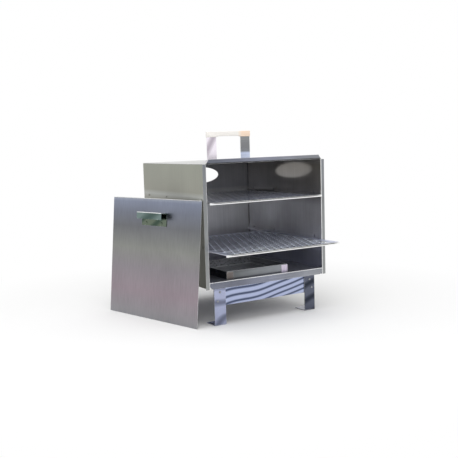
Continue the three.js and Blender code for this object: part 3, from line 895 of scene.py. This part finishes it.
def rivet_master(grip):
    key = round(grip / MM, 2)
    if key not in rivet_masters:
        piece = start_head("rivet_master")
        draw_out(grip)
        draw_out(0.01 * MM, TAIL_RADIUS / SHANK_RADIUS)
        draw_out(TAIL_RISE)
        done()
        round_edges(piece, lambda c, d: near(c.z, grip + TAIL_RISE), TAIL_RISE / 2, segments=3)
        smooth_turned(piece)
        repaint(piece, lambda c, n: c.z > grip, 1)
        rivet_masters[key] = piece
        print("rivet for a grip of", key, "mm")
    return rivet_masters[key]


def copy_to(master, name, pose):
    """A copy of master, its place in its own mesh."""
    piece = bpy.data.objects.new(name, master.data.copy())
    bpy.context.scene.collection.objects.link(piece)
    piece.data.transform(pose)
    return piece


def seat_pose(point, direction):
    turn = Vector((0, 0, 1)).rotation_difference(Vector(direction))
    return Matrix.Translation(point) @ turn.to_matrix().to_4x4()


def seat_rivet(node, direction, steels=(rivet_steel, rivet_steel)):
    low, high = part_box(node)
    direction = Vector(direction)
    length = abs((high - low).dot(direction))
    head_face = (low + high) / 2 - direction * (length / 2 - SEAT_RISE)
    master = rivet_master(length - SEAT_RISE - TAIL_RISE)
    piece = copy_to(master, node.replace("rivet", "rivet_head"), seat_pose(head_face, direction))
    for number, finish in enumerate(steels):
        piece.data.materials[number] = finish
    fit_piece(piece, node)


# %% Seat the rivets
for end, inwards in (("front", (0, 1, 0)), ("rear", (0, -1, 0))):
    for side in ("left", "right"):
        for number in (1, 2):
            seat_rivet(f"{end}_{side}_leg_rivet_{number}", inwards)
for level in ("upper", "lower"):
    for side, outwards in (("left", (-1, 0, 0)), ("right", (1, 0, 0))):
        for number in (1, 2, 3):
            seat_rivet(f"{level}_{side}_runner_rivet_{number}", outwards, (shaded_rivet_steel, outer_steel))
for side in ("left", "right"):
    for place in ("inner", "outer"):
        seat_rivet(f"handle_rivet_{side}_{place}", (0, 0, -1))

# %% Wood screws
SLOT_WIDTH, SLOT_DEPTH = 0.9 * MM, 0.8 * MM
for side in ("left", "right"):
    low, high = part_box(f"handle_screw_{side}")
    length = high.y - low.y - SEAT_RISE
    screw = start_head(f"handle_screw_{side}_turned")
    draw_out(length - SHANK_RADIUS)
    draw_out(SHANK_RADIUS, 0.1)
    done()
    smooth_turned(screw)
    for half in ((HEAD_RADIUS * 0.6, SLOT_WIDTH / 2), (SLOT_WIDTH / 2, HEAD_RADIUS * 0.6)):
        bit = slab(
            "bit", (-half[0], -half[1], -HEAD_RISE - MM), (half[0], half[1], -HEAD_RISE + SLOT_DEPTH),
            [rivet_steel],
        )
        cut_with(screw, bit)
    seat = Vector(((low.x + high.x) / 2, high.y - SEAT_RISE, (low.z + high.z) / 2))
    screw.data.transform(seat_pose(seat, (0, -1, 0)))
    fit_piece(screw, f"handle_screw_{side}")

# %% [markdown]
# ## Runners and racks
#
# Each rack slides on two angles riveted to the walls. A rack is a flat sheet with a window, its
# front edge folded down into a lip, and expanded metal under the window. Bridging the top and the
# bottom face of the window makes the hole and its edges in one move.


# %% Runners
for level in ("upper", "lower"):
    for side, sign in (("left", -1), ("right", 1)):
        node = f"{level}_{side}_runner"
        low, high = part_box(node)
        outer, inner = (low.x, low.x + SHEET) if sign < 0 else (high.x, high.x - SHEET)
        angle = slab(
            f"{node}_angle", (min(outer, inner), low.y, low.z), (max(outer, inner), high.y, high.z),
            [shaded_inner_steel],
        )
        saw(angle, (0, 0, low.z + SHEET), (0, 0, 1))
        push(
            angle, lambda c, n: n.x * sign < -0.9 and c.z < low.z + SHEET,
            (-sign * (high.x - low.x - SHEET), 0, 0),
        )
        round_edges(
            angle, lambda c, d: abs(d.y) > 0.9 and near(c.x, outer) and near(c.z, low.z), FOLD * 0.7,
        )
        finish_piece(angle, glint_slot=0)
        fit_piece(angle, node)

# %% Rack frames
RACK_SIDE, RACK_FRONT, RACK_REAR = 22 * MM, 8 * MM, 20 * MM
for level in ("upper", "lower"):
    low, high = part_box(f"{level}_rack_frame")
    strip_end = low.y + SHEET
    window_low = Vector((low.x + RACK_SIDE, low.y + RACK_FRONT, 0))
    window_high = Vector((high.x - RACK_SIDE, high.y - RACK_REAR, 0))
    ring = slab(
        f"{level}_rack_ring", (low.x, low.y, high.z - SHEET), (high.x, high.y, high.z),
        [shaded_rack_steel if level == "upper" else rack_steel, edge_glint_steel],
    )
    for x in (window_low.x, window_high.x):
        saw(ring, (x, 0, 0), (1, 0, 0))
    for y in (strip_end, window_low.y, window_high.y):
        saw(ring, (0, y, 0), (0, 1, 0))
    in_window = lambda c: window_low.x < c.x < window_high.x and window_low.y < c.y < window_high.y
    pick_faces(ring, lambda c, n: abs(n.z) > 0.9 and in_window(c))
    bpy.ops.mesh.bridge_edge_loops()
    done()
    push(ring, lambda c, n: n.z < -0.9 and c.y < strip_end, (0, 0, low.z - high.z + SHEET))
    round_edges(
        ring, lambda c, d: abs(d.x) > 0.9 and near(c.y, low.y) and near(c.z, high.z), FOLD, slot=1,
    )
    repaint(ring, lambda c, n: n.y < -0.9 and c.y < strip_end, 1)
    finish_piece(ring)
    fit_piece(ring, f"{level}_rack_frame", f"{level}_rack")

# %% [markdown]
# Expanded metal is a sheet slit in rows and pulled open. Here a grid is poked, so that every cell
# gets a centre, and its old edges are dissolved: what is left are diamonds. Each is inset by half a
# strand and opened, and the strands are then tipped, because the pull twists them.

# %% Rack mesh
DIAMOND_WIDTH, DIAMOND_LENGTH, STRAND_WIDTH, STRAND_THICKNESS = (v * MM for v in (23, 54, 3, 0.9))
TIP = 0.3 * MM


def expanded_metal(name, low, high, window_low, window_high, finish):
    width, depth = window_high.x - window_low.x, window_high.y - window_low.y
    columns, rows = round(width / DIAMOND_WIDTH), round(depth / DIAMOND_LENGTH)
    pitch_x, pitch_y = width / columns, depth / rows
    middle = (window_low + window_high) / 2
    clear_selection()
    bpy.ops.mesh.primitive_grid_add(
        x_subdivisions=columns + 2, y_subdivisions=rows + 1, size=1,
        location=(middle.x, middle.y, (low.z + high.z) / 2),
    )
    net = bpy.context.object
    net.name = name
    net.scale = ((columns + 2) * pitch_x, (rows + 1) * pitch_y, 1)
    set_in_mesh(net)
    net.data.materials.append(finish)
    grid_edges = len(net.data.edges)
    make_active(net)
    bpy.ops.object.mode_set(mode="EDIT")
    bpy.ops.mesh.select_all(action="SELECT")
    bpy.ops.mesh.poke()
    done()
    pick_edges(net, lambda c, d: abs(d.x) > 0.999 or abs(d.y) > 0.999)
    bpy.ops.mesh.dissolve_edges(use_verts=False)
    done()
    pick_faces(net, lambda c, n: True)
    bpy.ops.mesh.inset(thickness=STRAND_WIDTH / 2, use_individual=True)
    done()
    # After an individual inset the selected faces are the openings
    bpy.ops.object.mode_set(mode="EDIT")
    bpy.ops.mesh.select_mode(type="FACE")
    done()
    for face in net.data.polygons:
        if face.select:
            for index in face.vertices:
                point = net.data.vertices[index].co
                across = point.y - face.center.y
                if abs(across) > 1 * MM:
                    point.z += TIP if across > 0 else -TIP
    bpy.ops.object.mode_set(mode="EDIT")
    bpy.ops.mesh.delete(type="FACE")
    for point, normal in (
        ((low.x, 0, 0), (-1, 0, 0)), ((high.x, 0, 0), (1, 0, 0)), ((0, low.y, 0), (0, -1, 0)),
        ((0, high.y, 0), (0, 1, 0)),
    ):
        bpy.ops.mesh.select_all(action="SELECT")
        bpy.ops.mesh.bisect(plane_co=point, plane_no=normal, clear_outer=True)
    bpy.ops.mesh.select_all(action="SELECT")
    bpy.ops.mesh.remove_doubles(threshold=0.05 * MM)
    bpy.ops.mesh.normals_make_consistent(inside=False)
    done()
    if net.data.polygons[0].normal.z < 0:
        bpy.ops.object.mode_set(mode="EDIT")
        bpy.ops.mesh.select_all(action="SELECT")
        bpy.ops.mesh.flip_normals()
        done()
    plate = net.modifiers.new("plate", "SOLIDIFY")
    plate.thickness, plate.offset = STRAND_THICKNESS, 0
    make_active(net)
    bpy.ops.object.modifier_apply(modifier="plate")
    print(name, columns, "by", rows, "diamonds from", grid_edges, "grid edges")
    return net


for level in ("upper", "lower"):
    ring_low, ring_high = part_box(f"{level}_rack_frame")
    net = expanded_metal(
        f"{level}_rack_net", *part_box(f"{level}_rack_mesh"),
        Vector((ring_low.x + RACK_SIDE, ring_low.y + RACK_FRONT, 0)),
        Vector((ring_high.x - RACK_SIDE, ring_high.y - RACK_REAR, 0)),
        shaded_strand_steel if level == "upper" else strand_steel,
    )
    fit_piece(net, f"{level}_rack_mesh", f"{level}_rack")

# %% [markdown]
# ## The drip tray
#
# A shallow pan, folded from one thin sheet: its top is inset by the sheet and pushed down to make
# the inside, and the two ends of the long sides are folded round onto the front.

# %% Drip tray
TRAY_SHEET, TAB_WIDTH, TAB_DROP, TRAY_CORNER = 1 * MM, 22 * MM, 2 * MM, 2 * MM
low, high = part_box("drip_tray")
pan_front = low.y + TRAY_SHEET
pan = slab("drip_pan", (low.x, pan_front, low.z), high, [tray_steel, edge_glint_steel, pan_steel])
round_edges(pan, lambda c, d: abs(d.z) > 0.9, TRAY_CORNER)
pick_faces(pan, lambda c, n: n.z > 0.9)
bpy.ops.mesh.inset(thickness=TRAY_SHEET)
bpy.ops.mesh.extrude_region_move(TRANSFORM_OT_translate={"value": (0, 0, low.z - high.z + TRAY_SHEET)})
done()
round_edges(pan, lambda c, d: abs(d.z) < 0.1 and near(c.z, low.z), TRAY_CORNER * 0.6, segments=3)
half_sheet = TRAY_SHEET / 2
inside_pan = lambda c: (
    low.x + half_sheet < c.x < high.x - half_sheet and pan_front + half_sheet < c.y < high.y - half_sheet
)
repaint(pan, lambda c, n: inside_pan(c) and c.z > low.z + half_sheet, 2)
finish_piece(pan, soften=0.2 * MM)
tabs = [
    slab(
        "tab", (x, low.y, low.z), (x + TAB_WIDTH, pan_front, high.z - TAB_DROP), [finish, edge_glint_steel],
    )
    for x, finish in zip((low.x, high.x - TAB_WIDTH), tab_steels)
]
for tab in tabs:
    finish_piece(tab, soften=0.2 * MM)
clear_selection()
for piece in (*tabs, pan):
    piece.select_set(True)
bpy.context.view_layer.objects.active = pan
bpy.ops.object.join()
fit_piece(pan, "drip_tray", "drip_tray")

# %% [markdown]
# ## The carry handle
#
# Two straps stand on the roof on turned-back feet, and a wooden grip sits on them. Each strap ends
# in a narrower tenon that goes up into a slot in the wood, held by a screw from behind. The grip is
# hollowed a little underneath, between the straps, and rounded all round.

# %% Handle straps
STRAP, TENON_WIDTH, TENON_RISE = 2 * MM, 24 * MM, 11.7 * MM
for side in ("left", "right"):
    low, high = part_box(f"handle_strap_{side}")
    shoulder = high.z - TENON_RISE
    top = Vector((high.x, high.y, shoulder))
    strap = folded_strip(
        f"handle_{side}_strap", low, top, low.y, STRAP, False,
        [strap_steel if side == "left" else shaded_strap_steel, edge_glint_steel],
    )
    strap_middle = (low.x + high.x) / 2
    for reach in (-TENON_WIDTH / 2, TENON_WIDTH / 2):
        saw(strap, (strap_middle + reach, 0, 0), (1, 0, 0))
    push(
        strap, lambda c, n: n.z > 0.9 and near(c.z, shoulder) and abs(c.x - strap_middle) < TENON_WIDTH / 2,
        (0, 0, TENON_RISE),
    )
    finish_piece(strap)
    fit_piece(strap, f"handle_strap_{side}")

# %% Grip
GRIP_RELIEF, GRIP_CORNER, GRIP_ROUND, SLOT_ROOM = (v * MM for v in (2.5, 6, 2.2, 0.3))
strap_boxes = [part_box(f"handle_strap_{side}") for side in ("left", "right")]
hollow_low, hollow_high = strap_boxes[0][1].x, strap_boxes[1][0].x
grip = slab("wooden_grip", grip_low, grip_high, [grip_wood])
for x in (hollow_low, hollow_low + GRIP_CORNER, hollow_high - GRIP_CORNER, hollow_high):
    saw(grip, (x, 0, 0), (1, 0, 0))
low_x, high_x = hollow_low + GRIP_CORNER, hollow_high - GRIP_CORNER
pick_edges(grip, lambda c, d: abs(d.y) > 0.9 and near(c.z, grip_low.z) and low_x - MM < c.x < high_x + MM)
bpy.ops.transform.translate(value=(0, 0, GRIP_RELIEF))
done()
round_edges(
    grip,
    lambda c, d: abs(d.y) > 0.9 and c.z < grip_low.z + GRIP_RELIEF + MM and grip_low.x + MM < c.x < grip_high.x - MM,
    GRIP_CORNER * 0.4, segments=4,
)
softened = grip.modifiers.new("rounded", "BEVEL")
softened.width, softened.segments, softened.limit_method = GRIP_ROUND, 4, "ANGLE"
softened.angle_limit = math.radians(50)
make_active(grip)
bpy.ops.object.modifier_apply(modifier="rounded")
for low, high in strap_boxes:
    strap_middle = (low.x + high.x) / 2
    room = Vector((SLOT_ROOM, SLOT_ROOM, SLOT_ROOM))
    cut_with(grip, slab(
        "slot",
        Vector((strap_middle - TENON_WIDTH / 2, low.y, grip_low.z - MM)) - room,
        Vector((strap_middle + TENON_WIDTH / 2, low.y + STRAP, high.z)) + room,
        [grip_wood],
    ))
make_active(grip)
bpy.ops.object.shade_smooth_by_angle(angle=math.radians(40))
fit_piece(grip, "handle_grip")

# %% [markdown]
# ## The door
#
# The door is a loose panel, and its top edge is folded over and down into a hook that hangs on the
# roof's flange. It is made lying square at the origin, X along its bottom edge and Z up its face,
# and only then leaned against the cabinet: its heading comes from the hinge in the frame, and its
# lean is a given angle.

# %% Door panel
DOOR_WIDTH, DOOR_HEIGHT, HOOK_DEPTH, HOOK_DROP, HOOK_INSET = (v * MM for v in (403, 364.5, 4, 10, 12))
DOOR_LEAN = math.radians(5.7)
door_pose = (
    Matrix.Translation(door_foot) @ Matrix.Rotation(door_heading, 4, "Z") @ Matrix.Rotation(-DOOR_LEAN, 4, "X")
)
panel = slab(
    "door_sheet", (0, 0, 0), (DOOR_WIDTH, SHEET, DOOR_HEIGHT), [door_steel, edge_glint_steel, door_back_steel],
)
fold_line = DOOR_HEIGHT - SHEET
for x in (HOOK_INSET, DOOR_WIDTH - HOOK_INSET):
    saw(panel, (x, 0, 0), (1, 0, 0))
saw(panel, (0, 0, fold_line), (0, 0, 1))
in_hook = lambda c: HOOK_INSET < c.x < DOOR_WIDTH - HOOK_INSET
push(panel, lambda c, n: n.y > 0.9 and c.z > fold_line and in_hook(c), (0, HOOK_DEPTH - 2 * SHEET, 0))
push(panel, lambda c, n: n.y > 0.9 and c.z > fold_line and in_hook(c), (0, SHEET, 0))
push(
    panel, lambda c, n: n.z < -0.9 and c.z > fold_line - MM and c.y > HOOK_DEPTH - SHEET and in_hook(c),
    (0, 0, SHEET - HOOK_DROP),
)
for y in (0, HOOK_DEPTH):
    round_edges(
        panel, lambda c, d: abs(d.x) > 0.9 and near(c.y, y) and near(c.z, DOOR_HEIGHT), FOLD * 0.7, slot=1,
    )
repaint(panel, lambda c, n: n.y > 0.9, 2)
finish_piece(panel, soften=0.3 * MM)
panel.data.transform(door_pose)
fit_piece(panel, "door_panel", "door")

# %% [markdown]
# The pull is bent from one strip: a back plate riveted to the door, a shelf on top and a lip hanging
# down in front, behind which the fingers go.

# %% Door pull
PULL_WIDTH, PULL_DROP, PULL_BACK, PULL_STANDOFF, PULL_LIP, PULL_SHEET, SEAM = (
    v * MM for v in (112, 42, 40, 23, 20, 1.5, 0.3)
)
pull_top = DOOR_HEIGHT - PULL_DROP
pull_middle = DOOR_WIDTH / 2
lip_back = -SEAM - PULL_STANDOFF + PULL_SHEET
pull = slab(
    "door_pull_bracket", (pull_middle - PULL_WIDTH / 2, -SEAM - PULL_SHEET, pull_top - PULL_BACK),
    (pull_middle + PULL_WIDTH / 2, -SEAM, pull_top), [pull_steel, edge_glint_steel, shaded_pull_steel],
)
saw(pull, (0, 0, pull_top - PULL_SHEET), (0, 0, 1))
shelf_edge = lambda c, n: n.y < -0.9 and c.z > pull_top - PULL_SHEET
push(pull, shelf_edge, (0, 2 * PULL_SHEET - PULL_STANDOFF, 0))
push(pull, shelf_edge, (0, -PULL_SHEET, 0))
push(pull, lambda c, n: n.z < -0.9 and c.y < lip_back, (0, 0, PULL_SHEET - PULL_LIP))
for y, z, radius, slot in (
    (-SEAM, pull_top, FOLD, 1), (-SEAM - PULL_STANDOFF, pull_top, FOLD, 1),
    (-SEAM - PULL_SHEET, pull_top - PULL_SHEET, FOLD / 2, -1), (lip_back, pull_top - PULL_SHEET, FOLD / 2, -1),
):
    round_edges(
        pull, lambda c, d: abs(d.x) > 0.9 and near(c.y, y, 0.1 * MM) and near(c.z, z, 0.1 * MM), radius, slot=slot,
    )
# the top face gets the painted highlight, the back plate the painted shade
repaint(pull, lambda c, n: n.z > 0.9, 1)
repaint(pull, lambda c, n: c.y > -SEAM - 2 * PULL_SHEET, 2)
finish_piece(pull)
pull.data.transform(door_pose)
fit_piece(pull, "door_pull", "door")

# %% Pull rivets
PULL_RIVET_SPACING, PULL_RIVET_RISE, PULL_GRIP = (v * MM for v in (70, 9, 3.6))
for end, place in ((-1, "rear"), (1, "near")):
    seat = Vector((
        pull_middle + end * PULL_RIVET_SPACING / 2, -PULL_SHEET - 2 * SEAM, pull_top - PULL_BACK + PULL_RIVET_RISE,
    ))
    piece = copy_to(
        rivet_master(PULL_GRIP), f"door_pull_rivet_head_{place}", door_pose @ seat_pose(seat, (0, 1, 0))
    )
    piece.data.materials[0] = shaded_pull_steel
    fit_piece(piece, f"door_pull_rivet_{place}", "door")
for master in rivet_masters.values():
    bpy.data.objects.remove(master)

# %% [markdown]
# ## Size
#
# The box of the imported part and the box of the finished pieces are both printed.

# %% Sizes
visual_box = [list(corner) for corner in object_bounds()]
for name, corners in (("frame", cad_box), ("visual", visual_box)):
    print(name, [[round(v / MM, 2) for v in corner] for corner in corners])
